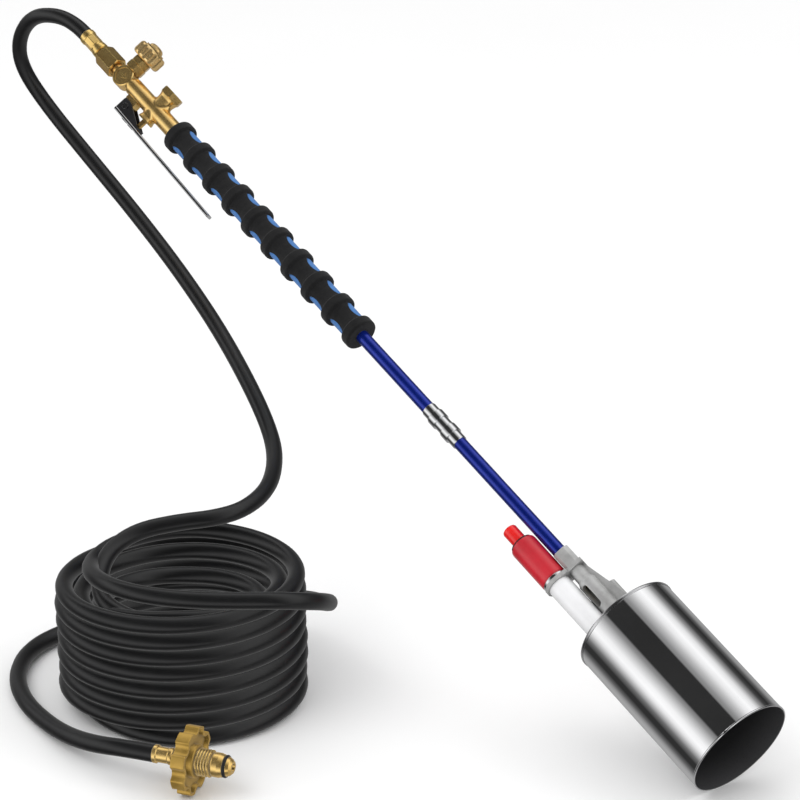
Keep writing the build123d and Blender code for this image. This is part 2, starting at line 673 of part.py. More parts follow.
def hose_coil():
    """Outer shape of the wound hose: two full layers and a lower partial ring inside them."""
    hose = 2 * HOSE_R
    height = COIL_TURNS_HIGH * hose
    layers = oval_ring(0, height, HOSE_R, hose + HOSE_R)
    inner_ring = oval_ring(height - 3 * hose, height - 0.9 * hose, 2 - hose, 2 * hose + HOSE_R + 2)
    return COIL * (layers + inner_ring)


def hose_tail():
    """Loose top turn, its drop behind the coil and the floor run to the connector."""
    end = (connector_point(-57.0), connector_point(-31.5))
    tube = hose_tube("hose_tail", TAIL_ROUTE + end)
    crimped = CONNECTOR * ring(-31.5, -16.0, 5.25, HOSE_BORE_R)
    return tube + crimped


def connector_ferrule():
    return turned(((-31.5, 6.9), (-31.0, 7.5), (-28.4, 7.5), (-27.6, 6.5), (-18.6, 6.4), (-17.6, 7.0), (-15.2, 7.0),
                   (-14.4, 6.4), (-14.4, 4.0), (-16.0, 4.0), (-16.0, 5.3), (-31.5, 5.3)))


def connector_nipple():
    """Tail in the hose, shaft through the nut and bull-nosed tip with its ring groove."""
    return turned(((-30.0, 2.4), (-30.0, 3.9), (-13.6, 3.9), (-13.6, NIPPLE_SHAFT_R), (20.0, NIPPLE_SHAFT_R),
                   (20.0, 9.4), (21.0, 10.0), (25.6, 10.0), (29.4, 8.9), (29.4, 7.2), (32.2, 7.2), (32.2, 8.0),
                   (34.6, 6.9), (36.6, 5.0), (36.6, 3.2), (33.6, 3.2), (32.6, 2.4)))


def connector_o_ring():
    return revolve(Plane.XZ * Pos(30.8, 7.9) * Circle(1.35), Axis.X) & ring(29.5, 32.1, 10.0, 7.25)


def connector_nut():
    """Male nut with a rounded thread, free to turn on the nipple's shaft."""
    pitch = 2.4
    thread_start = 7.0
    bore = NIPPLE_SHAFT_R + RUNNING_GAP
    corners = [(4.6, bore), (4.6, POL_THREAD_R - 1.2), (thread_start, POL_THREAD_R - 1.2)]
    for index in range(5):
        start = thread_start + index * pitch
        corners += [(start + 0.7, POL_THREAD_R - 0.2), (start + 1.2, POL_THREAD_R),
                    (start + 1.7, POL_THREAD_R - 0.2), (start + pitch, POL_THREAD_R - 1.3)]
    return turned(corners + [(thread_start + 5 * pitch, bore)])


def scalloped(back, front, rim_r, notch_r):
    """Round bar with notches centred just outside the wheel's rim."""
    shape = bar(back, front, rim_r)
    for index in range(WHEEL_LOBES):
        notch = Pos(0, 0, WHEEL_R + 1.2) * bar(back - 1, front + 1, notch_r)
        shape -= Rot(index * 360 / WHEEL_LOBES, 0, 0) * notch
    return shape


def connector_handwheel():
    """Scalloped wheel with a hollow that follows its rim round a raised hub flange."""
    bore = NIPPLE_SHAFT_R + RUNNING_GAP
    back = -6.0
    front = 5.4
    notch_r = 5.6
    rim_wall = 2.2
    wheel = scalloped(back, front, WHEEL_R, notch_r)
    wheel = fillet(wheel.edges().filter_by(Axis.X), 2.0)
    hollow = scalloped(front - 4.0, front + 1, WHEEL_R - rim_wall, notch_r + rim_wall)
    hollow -= bar(front - 5, front + 2, 13.6)
    rear_hollow = turned(((back - 1, 10.4), (back + 3.0, 11.4), (back + 3.0, 18.8), (back - 1, 19.8)))
    hub = turned(((back - 4.6, bore), (back - 4.6, 7.6), (back - 3.8, 8.4), (back, 8.8), (back, bore)))
    flange = turned(((front, bore), (front, 13.6), (front + 0.6, 13.6), (front + 1.2, 12.8), (front + 1.2, bore)))
    wheel = wheel - hollow - rear_hollow - bar(back - 1, front + 1, bore) + hub + flange
    return wheel - bar(4.6, front + 2, POL_THREAD_R - 1.2)


# ---------------------------------------------------------------- writing
TORCH_PIECES = {
    "hose_ferrule": hose_ferrule, "hose_barb": hose_barb, "inlet_nut": inlet_nut,
    "needle_valve_body": needle_valve_body, "bonnet_nut": bonnet_nut, "gland_nut": gland_nut,
    "stem_packing": stem_packing, "needle_stem": needle_stem, "flow_knob": flow_knob, "knob_cap": knob_cap,
    "trigger_valve_body": trigger_valve_body, "valve_end_plug": valve_end_plug,
    "valve_push_rod": valve_push_rod, "valve_poppet": valve_poppet, "poppet_seal": poppet_seal,
    "poppet_spring": poppet_spring, "rod_seal": rod_seal, "lever_pin": lever_pin, "lever_yoke": lever_yoke,
    "squeeze_lever": squeeze_lever, "yoke_rivets": yoke_rivets, "foam_grip": foam_grip,
    "grip_core": grip_core, "rear_tube": rear_tube, "front_tube": front_tube, "tube_coupling": tube_coupling,
    "igniter_button": igniter_button, "igniter_seal_ring": igniter_seal_ring,
    "igniter_sleeve": igniter_sleeve, "igniter_clamp_ring": igniter_clamp_ring,
    "igniter_barrel": igniter_barrel, "hammer_guide": hammer_guide, "igniter_hammer": igniter_hammer,
    "piezo_crystal": piezo_crystal, "hammer_spring": hammer_spring, "button_spring": button_spring,
    "ignition_lead": ignition_lead, "electrode_insulator": electrode_insulator,
    "spark_electrode": spark_electrode, "head_casting": head_casting, "gas_jet": gas_jet,
    "bell_back_plate": bell_back_plate, "bell_screws": bell_screws, "flame_tube": flame_tube,
    "flame_holder": flame_holder, "burner_bell": burner_bell,
}
CONNECTOR_PIECES = {
    "connector_ferrule": connector_ferrule, "connector_nipple": connector_nipple,
    "connector_o_ring": connector_o_ring, "connector_nut": connector_nut,
    "connector_handwheel": connector_handwheel,
}
HOSE_PIECES = {"hose_lead": hose_lead, "hose_coil": hose_coil, "hose_tail": hose_tail}


def main():
    os.makedirs("parts", exist_ok=True)
    for name, build in TORCH_PIECES.items():
        export_step(TORCH * build(), f"parts/{name}.step")
    for name, build in CONNECTOR_PIECES.items():
        export_step(CONNECTOR * build(), f"parts/{name}.step")
    for name, build in HOSE_PIECES.items():
        export_step(build(), f"parts/{name}.step")


main()
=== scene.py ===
"""Looks of the roofing torch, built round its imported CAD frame.

Lengths are metres in the part's own frame, unless a comment says millimetres.
"""
import math

import bpy
from mathutils import Matrix, Vector


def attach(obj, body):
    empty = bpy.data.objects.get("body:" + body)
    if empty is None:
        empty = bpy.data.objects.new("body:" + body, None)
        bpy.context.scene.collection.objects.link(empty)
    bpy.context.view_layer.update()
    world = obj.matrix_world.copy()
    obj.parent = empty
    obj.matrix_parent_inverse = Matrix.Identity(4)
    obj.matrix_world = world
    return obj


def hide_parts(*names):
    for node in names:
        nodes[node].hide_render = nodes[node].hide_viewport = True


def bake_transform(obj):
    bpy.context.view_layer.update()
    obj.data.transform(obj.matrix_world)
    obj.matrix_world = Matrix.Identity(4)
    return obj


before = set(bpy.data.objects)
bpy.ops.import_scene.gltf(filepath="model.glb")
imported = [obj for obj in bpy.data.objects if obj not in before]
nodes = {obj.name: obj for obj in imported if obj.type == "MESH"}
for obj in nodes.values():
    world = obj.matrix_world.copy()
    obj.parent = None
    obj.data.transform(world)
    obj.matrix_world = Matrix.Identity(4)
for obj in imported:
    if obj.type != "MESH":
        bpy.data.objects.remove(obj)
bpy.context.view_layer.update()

MM = 0.001
# how the torch leans and is rolled about its own axis
TILT = math.radians(23.78)
ROLL = math.radians(-46.66)
# station of the frame's origin and height of the floor, in millimetres
GRIP_CENTRE = 243.7
FLOOR_Z = -307.7

# directions of the torch: along the lance, sideways, and from its lever side towards its flow knob
LANCE = Vector((math.cos(TILT), 0.0, -math.sin(TILT)))
ACROSS = Vector((math.sin(TILT) * math.sin(ROLL), math.cos(ROLL), math.cos(TILT) * math.sin(ROLL)))
KNOB = LANCE.cross(ACROSS)

# middle of the connector's wheel and the way its axis points along the floor
WHEEL_CENTRE = Vector((323.8, -330.6, FLOOR_Z + 28.0)) * MM
WHEEL_TURN = math.radians(30.5)
WHEEL_AXIS = Vector((math.cos(WHEEL_TURN), math.sin(WHEEL_TURN), 0.0))


def torch_point(station, across=0.0, up=0.0):
    """Point of the torch from its station and offsets in millimetres."""
    return (LANCE * (station - GRIP_CENTRE) + ACROSS * across + KNOB * up) * MM


def connector_point(station):
    """Point on the connector's axis, in millimetres from the middle of its wheel."""
    return WHEEL_CENTRE + WHEEL_AXIS * (station * MM)


# ---------------------------------------------------------------- camera
CAMERA_AZIMUTH = math.radians(50.55)
CAMERA_PITCH = math.radians(22.0)
CAMERA_SPOT = (2.0459, -1.5333, 0.8735)
CAMERA_LENS = 135.0
CAMERA_SENSOR = 36.0
CAMERA_REACH = 60.0


def add_camera():
    """Camera that sees the torch from its front left, a little above."""
    right = Vector((math.cos(CAMERA_AZIMUTH), math.sin(CAMERA_AZIMUTH), 0.0))
    level = Vector((-math.sin(CAMERA_AZIMUTH), math.cos(CAMERA_AZIMUTH), 0.0))
    forward = level * math.cos(CAMERA_PITCH) - Vector((0, 0, math.sin(CAMERA_PITCH)))
    up = right.cross(forward)
    data = bpy.data.cameras.new("camera")
    data.lens = CAMERA_LENS
    data.sensor_width = CAMERA_SENSOR
    data.clip_end = CAMERA_REACH
    camera = bpy.data.objects.new("camera", data)
    bpy.context.scene.collection.objects.link(camera)
    turn = Matrix((right, up, -forward)).transposed().to_4x4()
    camera.matrix_world = Matrix.Translation(CAMERA_SPOT) @ turn
    bpy.context.scene.camera = camera


add_camera()
bpy.context.scene.view_settings.view_transform = "Standard"


# ---------------------------------------------------------------- node helpers
def add_node(tree, kind, inputs=None, **settings):
    """New shader node; inputs maps a socket name or number to a value or to another node's output."""
    node = tree.nodes.new(kind)
    for name, value in settings.items():
        setattr(node, name, value)
    for key, value in (inputs or {}).items():
        if isinstance(value, bpy.types.NodeSocket):
            tree.links.new(value, node.inputs[key])
        else:
            node.inputs[key].default_value = value
    return node


def math_node(tree, operation, *values):
    """Result of one sum on values or other nodes' outputs."""
    return add_node(tree, "ShaderNodeMath", dict(enumerate(values)), operation=operation).outputs[0]


def place(tree):
    """Coordinates in the part's frame, which a moving piece carries with it."""
    return add_node(tree, "ShaderNodeTexCoord").outputs["Object"]


def along(tree, vector, direction):
    """Distance along a direction."""
    node = add_node(tree, "ShaderNodeVectorMath", {0: vector, 1: direction}, operation="DOT_PRODUCT")
    return node.outputs["Value"]


def noise(tree, vector, scale, detail=4.0, roughness=0.55):
    """Cloudy noise; scale is in cycles a metre."""
    node = add_node(tree, "ShaderNodeTexNoise",
                    {"Vector": vector, "Scale": scale, "Detail": detail, "Roughness": roughness})
    return node.outputs["Fac"]


def line_noise(tree, distance, scale, detail=3.0):
    """Noise that changes in one direction only, as tool marks do."""
    node = add_node(tree, "ShaderNodeTexNoise", {"W": distance, "Scale": scale, "Detail": detail},
                    noise_dimensions="1D")
    return node.outputs["Fac"]


def ramp(tree, factor, stops):
    """Colour ramp; each stop is (position, grey or colour)."""
    node = add_node(tree, "ShaderNodeValToRGB", {"Fac": factor})
    elements = node.color_ramp.elements
    while len(elements) < len(stops):
        elements.new(1.0)
    for element, (position, colour) in zip(elements, stops):
        element.position = position
        grey = isinstance(colour, (int, float))
        element.color = (colour, colour, colour, 1.0) if grey else (*colour, 1.0)
    return node.outputs["Color"]


def blend_colours(tree, factor, first, second):
    """Mix of two colours or greys, each a value or another node's output."""
    node = add_node(tree, "ShaderNodeMix", data_type="RGBA")
    for key, value in (("Factor", factor), (6, first), (7, second)):
        socket = node.inputs[key]
        if isinstance(value, bpy.types.NodeSocket):
            tree.links.new(value, socket)
        elif isinstance(value, (int, float)):
            socket.default_value = value
        else:
            socket.default_value = (*value, 1.0)
    return node.outputs[2]


def bump(tree, height, strength, distance, normal=None):
    """Normal of a surface raised by height times distance."""
    inputs = {"Height": height, "Strength": strength, "Distance": distance}
    if normal:
        inputs["Normal"] = normal
    return add_node(tree, "ShaderNodeBump", inputs).outputs["Normal"]


def new_material(name, **constants):
    """Material with a Principled shader and fixed values on its sockets."""
    material = bpy.data.materials.new(name)
    material.use_nodes = True
    tree = material.node_tree
    shader = tree.nodes["Principled BSDF"]
    for key, value in constants.items():
        shader.inputs[key.replace("_", " ")].default_value = value
    return material, tree, shader


def put(tree, shader, **links):
    """Join nodes' outputs to the shader's sockets."""
    for key, value in links.items():
        tree.links.new(value, shader.inputs[key.replace("_", " ")])


# ---------------------------------------------------------------- stage
# what the polished bell mirrors, by angle round the lance in degrees from the camera's side, as light levels
MIRROR_RING = (
    (-180, 0.33), (-156, 0.32), (-144, 0.28), (-132, 0.10), (-120, 0.022), (-108, 0.055), (-96, 0.30),
    (-84, 0.79), (-72, 1.0), (-60, 0.83), (-48, 0.51), (-36, 0.26), (-31, 0.22), (-29, 0.024), (16, 0.026),
    (19, 0.20), (24, 0.27), (36, 0.60), (48, 0.92), (58, 1.0), (66, 0.82), (76, 0.42), (84, 0.16), (96, 0.03),
    (108, 0.03), (120, 0.127), (132, 0.30), (144, 0.38), (160, 0.34), (180, 0.33),
)
MIRROR_GAIN = 1.12
SKY_STRENGTH = 1.04
# angles round the lance are counted from this direction, towards the camera
TO_CAMERA = Vector((0.716, -0.5891, 0.3746))
FLOOR_HALF = 14.0
FLOOR_GAP = 0.0002
# name, place, what it points at, width and height, watts
SOFTBOXES = (
    ("key_light", (0.2, -1.9, 2.0), (0.1, -0.2, -0.15), (1.8, 1.4), 18),
    ("rim_light", (1.6, 1.4, 1.6), (0.2, -0.1, -0.1), (1.4, 1.0), 10),
)


def add_world():
    """Even white light, and a ring of strip lights round the lance that only polished metal mirrors."""
    world = bpy.data.worlds.new("studio")
    bpy.context.scene.world = world
    world.use_nodes = True
    tree = world.node_tree
    tree.nodes.clear()
    direction = add_node(tree, "ShaderNodeTexCoord").outputs["Generated"]
    facing = (TO_CAMERA - LANCE * TO_CAMERA.dot(LANCE)).normalized()
    side = LANCE.cross(facing)
    turn = math_node(tree, "ARCTAN2", along(tree, direction, side), along(tree, direction, facing))
    turn = math_node(tree, "MULTIPLY_ADD", turn, 0.5 / math.pi, 0.5)
    stops = [(angle / 360.0 + 0.5, level) for angle, level in MIRROR_RING]
    ring = ramp(tree, turn, stops)
    mirrored = add_node(tree, "ShaderNodeBackground", {"Color": ring, "Strength": MIRROR_GAIN})
    plain = add_node(tree, "ShaderNodeBackground", {"Color": (1.0, 1.0, 1.0, 1.0), "Strength": SKY_STRENGTH})
    glossy = add_node(tree, "ShaderNodeLightPath").outputs["Is Glossy Ray"]
    mix = add_node(tree, "ShaderNodeMixShader", {0: glossy, 1: plain.outputs[0], 2: mirrored.outputs[0]})
    add_node(tree, "ShaderNodeOutputWorld", {"Surface": mix.outputs[0]})


def add_floor():
    """Plain pale floor under the hose and the torch."""
    material, tree, shader = new_material("floor", Roughness=0.9, Specular_IOR_Level=0.1)
    tone = noise(tree, place(tree), 3.0, 2.0)
    put(tree, shader, Base_Color=ramp(tree, tone, ((0.0, 0.88), (1.0, 0.90))))
    mesh = bpy.data.meshes.new("floor")
    half = FLOOR_HALF
    z = FLOOR_Z * MM - FLOOR_GAP
    corners = [(-half, -half, z), (half, -half, z), (half, half, z), (-half, half, z)]
    mesh.from_pydata(corners, [], [(0, 1, 2, 3)])
    mesh.materials.append(material)
    floor = bpy.data.objects.new("floor", mesh)
    floor.visible_glossy = False
    bpy.context.scene.collection.objects.link(floor)


def add_softbox(name, position, target, size, energy):
    """Rectangular lamp that lights the object but isn't mirrored in it."""
    data = bpy.data.lights.new(name, "AREA")
    data.shape = "RECTANGLE"
    data.size, data.size_y = size
    data.energy = energy
    lamp = bpy.data.objects.new(name, data)
    aim = (Vector(target) - Vector(position)).to_track_quat("-Z", "Y")
    lamp.matrix_world = Matrix.Translation(position) @ aim.to_matrix().to_4x4()
    lamp.visible_glossy = False
    bpy.context.scene.collection.objects.link(lamp)


add_world()
add_floor()
for softbox in SOFTBOXES:
    add_softbox(*softbox)

# ---------------------------------------------------------------- finishes
# noise scales, in cycles a metre
TARNISH_SCALE = 55.0
PIT_SCALE = 1100.0
TOOL_MARK_SCALE = 2600.0
POLISH_LINE_SCALE = 5200.0
PEEL_SCALE = 620.0
DUST_SCALE = 1900.0
FLAKE_SCALE = 2600.0
CAST_GRAIN_SCALE = 1300.0
CAST_FLOW_SCALE = 420.0
SPIN_LINE_SCALE = 2400.0
RUBBER_GRAIN_SCALE = 1600.0
# heights of the relief that they stand for, in metres
PIT_DEPTH = 0.0002
TOOL_MARK_DEPTH = 0.00006
POLISH_LINE_DEPTH = 0.00004
PEEL_DEPTH = 0.0003
FLAKE_DEPTH = 0.0001
CELL_DEPTH = 0.0005
CAST_GRAIN_DEPTH = 0.0003
SPIN_LINE_DEPTH = 0.00005
RUBBER_GRAIN_DEPTH = 0.0002
# radii of rounded edges, whose mask also places chipped paint and painted edge highlights, and how far
# painted shade reaches out of a corner, in metres
CHROME_EDGE = 0.0003
COATED_EDGE = 0.0005
FOAM_EDGE = 0.0010
CAST_EDGE = 0.0007
SHADE_REACH = 0.005
CAST_SHADE_REACH = 0.009
# radius between the bell's two faces and the station of its back, in millimetres
BELL_WALL_R = 45.5
BELL_BACK = 758.0
# turns distance from the bell's back, in metres, into 0 at its back and about 0.9 at its mouth
BELL_DEPTH_SCALE = 6.3


def torch_axes(tree, spot):
    """Distances along the lance and out from its axis, in metres."""
    across = along(tree, spot, ACROSS)
    up = along(tree, spot, KNOB)
    squares = math_node(tree, "MULTIPLY_ADD", across, across, math_node(tree, "MULTIPLY", up, up))
    return along(tree, spot, LANCE), math_node(tree, "SQRT", squares)


def soft_edges(tree, radius):
    """Normal of a surface with its edges rounded off."""
    return add_node(tree, "ShaderNodeBevel", {"Radius": radius}, samples=4).outputs["Normal"]


def edge_wear_and_highlight_mask(tree, rounded):
    """Mask that is 1 on the edges that a rounded-off normal leaves, and 0 on the flats; it places chipped
    paint and painted edge highlights.
    """
    flat = add_node(tree, "ShaderNodeNewGeometry").outputs["Normal"]
    return ramp(tree, along(tree, rounded, flat), ((0.80, 1.0), (0.985, 0.0)))


def painted_recess_shade(tree, base, dark, reach):
    """Base colour with painted shade, darkened where surfaces meet and close in."""
    open_sky = add_node(tree, "ShaderNodeAmbientOcclusion", {"Distance": reach}, samples=6).outputs["AO"]
    return blend_colours(tree, ramp(tree, open_sky, ((0.30, 0.75), (0.85, 0.0))), base, dark)


def metal(name, colour, shade, polish, axis, marks=0.1, pitted=0.0, edge_highlight=0.4, round_off=0.0004, body=1.0):
    """Bare metal with tarnish clouds, cutting marks across an axis, fine pits, edges painted bright as
    highlights and painted shade where surfaces meet.

    polish is the least and greatest roughness, and body how metallic it is under its skin of oxide.
    """
    material, tree, shader = new_material(name, Metallic=body)
    spot = place(tree)
    cloud = noise(tree, spot, TARNISH_SCALE, 5.0)
    pits = noise(tree, spot, PIT_SCALE, 3.0, 0.7)
    cut = line_noise(tree, along(tree, spot, axis), TOOL_MARK_SCALE)
    normal = soft_edges(tree, round_off)
    highlit_edges = edge_wear_and_highlight_mask(tree, normal)
    base = ramp(tree, cloud, ((0.32, shade), (0.62, colour)))
    # edges painted brighter than the metal, as highlights
    bright = tuple(min(1.0, channel * 1.25) for channel in colour)
    base = blend_colours(tree, math_node(tree, "MULTIPLY", highlit_edges, edge_highlight), base, bright)
    base = blend_colours(tree, ramp(tree, pits, ((0.66, 0.0), (0.80, 0.30 + pitted))), base, shade)
    # painted shade: darker where surfaces meet
    base = painted_recess_shade(tree, base, tuple(0.35 * channel for channel in shade), SHADE_REACH)
    haze = math_node(tree, "MULTIPLY_ADD", cut, 0.35, math_node(tree, "MULTIPLY", cloud, 0.65))
    rough = ramp(tree, haze, ((0.30, polish[0]), (0.66, polish[1])))
    normal = bump(tree, cut, marks, TOOL_MARK_DEPTH, normal)
    if pitted:
        normal = bump(tree, pits, pitted, PIT_DEPTH, normal)
    put(tree, shader, Base_Color=base, Roughness=rough, Normal=normal)
    return material


def chrome(name, tone=0.80, roughness=0.07, axis=LANCE, depth=0.03):
    """Bright plate with faint polishing lines and a few dull specks."""
    material, tree, shader = new_material(name, Metallic=1.0)
    spot = place(tree)
    specks = noise(tree, spot, 420.0, 5.0, 0.7)
    cloud = noise(tree, spot, 30.0, 3.0)
    lines = line_noise(tree, along(tree, spot, axis), POLISH_LINE_SCALE)
    dull = (tone * 0.94, tone * 0.95, tone * 0.97)
    bright = (tone, tone, tone * 1.01)
    base = ramp(tree, cloud, ((0.3, dull), (0.7, bright)))
    base = blend_colours(tree, ramp(tree, specks, ((0.70, 0.0), (0.82, 0.35))), base, (0.42, 0.41, 0.40))
    rough = ramp(tree, specks, ((0.35, roughness), (0.75, roughness + 0.10)))
    normal = bump(tree, lines, depth, POLISH_LINE_DEPTH, soft_edges(tree, CHROME_EDGE))
    put(tree, shader, Base_Color=base, Roughness=rough, Normal=normal)
    return material


def coated(name, colour, shade, roughness, coat, coat_roughness, peel=0.05, edge_fleck_colour=None, specular=0.5):
    """Paint or moulded plastic: slow colour drift, orange-peel skin, dust specks and edges flecked with
    another colour, which are rubbed paint and, on the black yoke, also painted edge highlights.
    """
    material, tree, shader = new_material(
        name, Coat_Weight=coat, Coat_Roughness=coat_roughness, Specular_IOR_Level=specular)
    spot = place(tree)
    cloud = noise(tree, spot, 40.0, 4.0)
    skin = noise(tree, spot, PEEL_SCALE, 2.0)
    dust = noise(tree, spot, DUST_SCALE, 5.0, 0.75)
    base = ramp(tree, cloud, ((0.3, shade), (0.65, colour)))
    normal = soft_edges(tree, COATED_EDGE)
    if edge_fleck_colour:
        flakes = ramp(tree, dust, ((0.50, 0.0), (0.60, 0.7)))
        edge_flecks = math_node(tree, "MULTIPLY", edge_wear_and_highlight_mask(tree, normal), flakes)
        base = blend_colours(tree, edge_flecks, base, edge_fleck_colour)
    base = blend_colours(tree, ramp(tree, dust, ((0.72, 0.0), (0.84, 0.12))), base, (0.5, 0.5, 0.5))
    rough = ramp(tree, dust, ((0.3, roughness), (0.8, roughness + 0.08)))
    normal = bump(tree, skin, peel, PEEL_DEPTH, normal)
    put(tree, shader, Base_Color=base, Roughness=rough, Normal=normal, Coat_Normal=normal)
    return material


def tube_enamel():
    """Deep blue metallic enamel under clear coat, with faint draw lines and rubbed spots."""
    material, tree, shader = new_material("tube_blue", Metallic=0.75, Coat_Weight=0.6, Coat_Roughness=0.05)
    spot = place(tree)
    flake = noise(tree, spot, FLAKE_SCALE, 2.0)
    cloud = noise(tree, spot, 30.0, 4.0)
    rub = noise(tree, spot, 260.0, 6.0, 0.75)
    base = ramp(tree, cloud, ((0.3, (0.004, 0.020, 0.300)), (0.7, (0.008, 0.034, 0.420))))
    base = blend_colours(tree, ramp(tree, flake, ((0.60, 0.0), (0.75, 0.4))), base, (0.03, 0.10, 0.62))
    base = blend_colours(tree, ramp(tree, rub, ((0.72, 0.0), (0.82, 0.3))), base, (0.02, 0.03, 0.10))
    rough = ramp(tree, rub, ((0.3, 0.24), (0.75, 0.34)))
    put(tree, shader, Base_Color=base, Roughness=rough, Normal=bump(tree, flake, 0.05, FLAKE_DEPTH))
    return material


def foam(name, colour, shade, cell_scale, depth, roughness=0.95, specular=0.12):
    """Closed-cell foam: mottled colour and tiny open cells in the cut skin."""
    material, tree, shader = new_material(
        name, Specular_IOR_Level=specular, Sheen_Weight=0.08, Sheen_Roughness=0.6)
    spot = place(tree)
    mottle = noise(tree, spot, 160.0, 6.0, 0.7)
    cells = add_node(tree, "ShaderNodeTexVoronoi", {"Vector": spot, "Scale": cell_scale}).outputs["Distance"]
    fine = noise(tree, spot, cell_scale * 1.7, 4.0, 0.7)
    base = ramp(tree, mottle, ((0.35, shade), (0.68, colour)))
    hollow = tuple(0.4 * channel for channel in shade)
    base = blend_colours(tree, ramp(tree, cells, ((0.0, 0.45), (0.22, 0.0))), base, hollow)
    height = math_node(tree, "MULTIPLY_ADD", cells, 0.7, math_node(tree, "MULTIPLY", fine, 0.3))
    normal = soft_edges(tree, FOAM_EDGE)
    rough = ramp(tree, mottle, ((0.3, roughness - 0.08), (0.7, roughness)))
    put(tree, shader, Base_Color=base, Roughness=rough, Normal=bump(tree, height, depth, CELL_DEPTH, normal))
    return material


def cast_metal():
    """Die-cast burner head: sandy grain, mould marks, edges painted pale as highlights and painted shade in
    its corners, on pale grey.
    """
    material, tree, shader = new_material("casting", Metallic=0.55)
    spot = place(tree)
    grain = noise(tree, spot, CAST_GRAIN_SCALE, 5.0, 0.75)
    cloud = noise(tree, spot, 70.0, 5.0, 0.6)
    cells = add_node(tree, "ShaderNodeTexVoronoi", {"Vector": spot, "Scale": CAST_FLOW_SCALE})
    flow = cells.outputs["Distance"]
    base = ramp(tree, cloud, ((0.3, (0.43, 0.43, 0.425)), (0.7, (0.63, 0.63, 0.625))))
    base = blend_colours(tree, ramp(tree, grain, ((0.62, 0.0), (0.78, 0.5))), base, (0.30, 0.30, 0.29))
    normal = soft_edges(tree, CAST_EDGE)
    # edges painted pale, as highlights
    highlit_edges = math_node(tree, "MULTIPLY", edge_wear_and_highlight_mask(tree, normal), 0.5)
    base = blend_colours(tree, highlit_edges, base, (0.86, 0.86, 0.85))
    # painted shade: darker in the slots and where surfaces meet
    base = painted_recess_shade(tree, base, (0.09, 0.09, 0.088), CAST_SHADE_REACH)
    height = math_node(tree, "MULTIPLY_ADD", flow, 0.4, grain)
    put(tree, shader, Base_Color=base, Roughness=ramp(tree, grain, ((0.3, 0.46), (0.7, 0.62))),
        Normal=bump(tree, height, 0.35, CAST_GRAIN_DEPTH, normal))
    return material


def bell_metal():
    """Bell polished outside and dull and dark inside, with painted shade inside that is darkest at its back.
    """
    material, tree, shader = new_material("bell_mirror", Metallic=1.0)
    spot = place(tree)
    station, radius = torch_axes(tree, spot)
    wall = 10.0 * BELL_WALL_R * MM
    decimetres = math_node(tree, "MULTIPLY", radius, 10.0)
    inner = ramp(tree, decimetres, ((wall - 0.0005, 1.0), (wall + 0.0005, 0.0)))
    smear = noise(tree, spot, 14.0, 4.0)
    specks = noise(tree, spot, 700.0, 5.0, 0.75)
    spun = line_noise(tree, station, SPIN_LINE_SCALE)
    outside = ramp(tree, smear, ((0.3, (0.83, 0.83, 0.84)), (0.7, (0.90, 0.90, 0.91))))
    stained = ramp(tree, specks, ((0.72, 0.0), (0.84, 0.25)))
    outside = blend_colours(tree, stained, outside, (0.45, 0.44, 0.43))
    # painted shade: the inside darkens from the mouth towards the back
    depth = math_node(tree, "MULTIPLY_ADD", station, BELL_DEPTH_SCALE,
                      BELL_DEPTH_SCALE * (GRIP_CENTRE - BELL_BACK) * MM)
    inside = ramp(tree, depth, ((0.15, (0.012, 0.012, 0.013)), (0.75, (0.040, 0.040, 0.042)),
                                (0.97, (0.11, 0.11, 0.115))))
    inside = blend_colours(tree, ramp(tree, specks, ((0.55, 0.0), (0.75, 0.6))), inside, (0.03, 0.029, 0.028))
    base = blend_colours(tree, inner, outside, inside)
    polish = ramp(tree, smear, ((0.3, 0.045), (0.7, 0.075)))
    dull = ramp(tree, specks, ((0.3, 0.42), (0.7, 0.58)))
    normal = bump(tree, spun, 0.02, SPIN_LINE_DEPTH)
    put(tree, shader, Base_Color=base, Roughness=blend_colours(tree, inner, polish, dull), Normal=normal,
        Metallic=math_node(tree, "MULTIPLY_ADD", inner, -0.6, 1.0))
    return material


def dress(material, *names):
    """Give CAD nodes a finish."""
    for name in names:
        for place_on in nodes[name].material_slots:
            place_on.material = material


